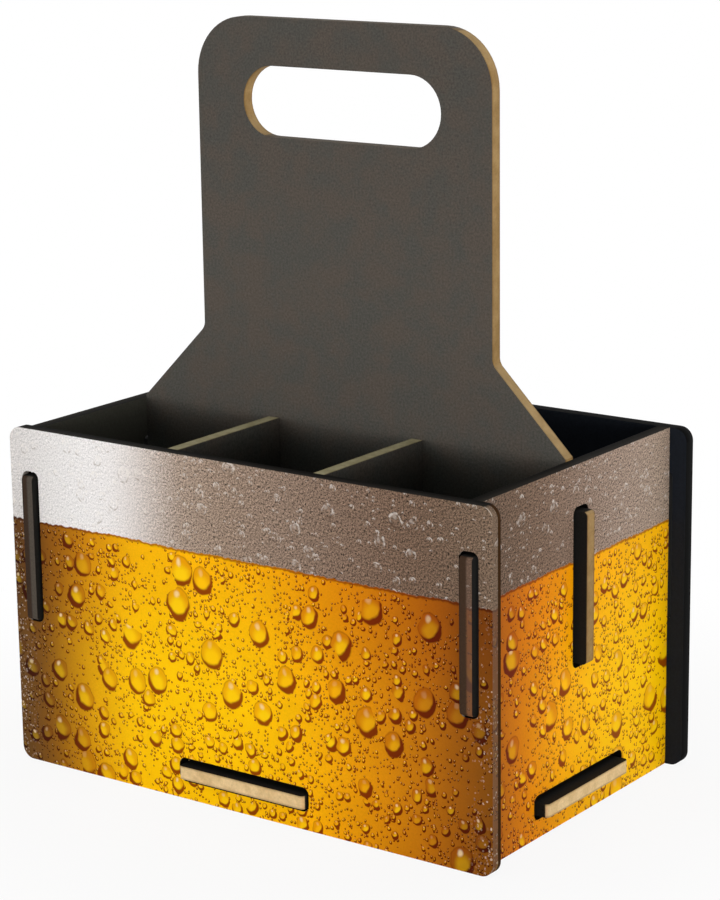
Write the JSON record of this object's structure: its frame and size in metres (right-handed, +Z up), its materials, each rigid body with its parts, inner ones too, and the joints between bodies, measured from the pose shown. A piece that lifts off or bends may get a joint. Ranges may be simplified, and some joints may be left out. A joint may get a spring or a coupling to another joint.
{
  "type": "bottle caddy",
  "caption": "Open slot-together box of fibreboard with bottle cells, a plate handle with a hand hole, and tabs through slots.",
  "frame": {"origin": "on the ground, in the middle of the box", "axes": "+Z up, +X along the front board to the right, -Y out of the front board"},
  "size_m": [0.26, 0.1678, 0.338],
  "materials": {
    "printed_board": "fibreboard, printed on its outer face and black on its inner face, satin",
    "black_board": "fibreboard with black faces and raw light edges, matt",
    "charcoal_board": "fibreboard with charcoal faces and raw khaki edges, matt"
  },
  "bodies": {
    "root": {"front_panel": "printed_board", "back_panel": "printed_board", "left_end_panel": "printed_board", "right_end_panel": "printed_board", "bottom_panel": "black_board", "centre_divider": "charcoal_board", "cross_divider_left": "charcoal_board", "cross_divider_right": "charcoal_board"}
  },
  "joints": []
}
